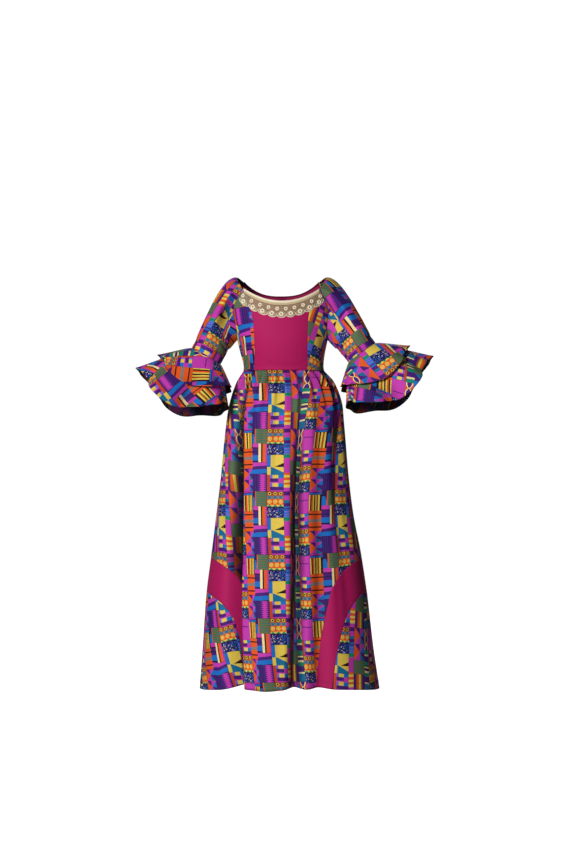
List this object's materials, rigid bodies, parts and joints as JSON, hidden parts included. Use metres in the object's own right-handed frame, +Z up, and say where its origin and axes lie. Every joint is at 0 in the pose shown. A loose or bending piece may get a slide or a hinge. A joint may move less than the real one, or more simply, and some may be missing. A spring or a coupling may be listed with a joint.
{
  "type": "african print dress",
  "caption": "Floor-length print dress, filled out, with a lace collar, plain front panel, raglan sleeves with two-tier flounces, and a gathered skirt with curved plain bands.",
  "frame": {"origin": "midway between the peaks of the two shoulders, where the wearer's shoulders carry the dress", "axes": "+Z up, the front of the dress faces -Y, and the left side as seen from the front is -X"},
  "size_m": [0.9969, 0.4917, 1.3934],
  "materials": {
    "printed_cotton": "crisp wax-print cotton with a faint sheen, printed in small kente-style blocks",
    "plain_cotton": "plain magenta cotton, matt with a soft sheen",
    "lace": "cream and taupe corded lace with satin bands",
    "zip_metal": "small zip slider and pull enamelled to match the cloth"
  },
  "bodies": {
    "dress": {"bodice_front_centre": "plain_cotton", "bodice_front_side_left": "printed_cotton", "bodice_front_side_right": "printed_cotton", "bodice_back_left": "printed_cotton", "bodice_back_right": "printed_cotton", "lace_collar": "lace", "sleeve_left": "printed_cotton", "sleeve_right": "printed_cotton", "flounce_upper_left": "printed_cotton", "flounce_upper_right": "printed_cotton", "flounce_lower_left": "printed_cotton", "flounce_lower_right": "printed_cotton", "skirt_front": "printed_cotton", "skirt_back_left": "printed_cotton", "skirt_back_right": "printed_cotton", "skirt_band_left": "plain_cotton", "skirt_band_right": "plain_cotton", "skirt_corner_left": "printed_cotton", "skirt_corner_right": "printed_cotton", "zip_slider": "zip_metal"},
    "pull": {"zip_pull": "zip_metal"}
  },
  "joints": [
    {"name": "pull_swing", "type": "hinge", "parent": "dress", "child": "pull", "pos_m": [-0.0034, 0.1048, -0.0742], "axis": [1, 0, 0], "range_deg": [0, 150]}
  ]
}
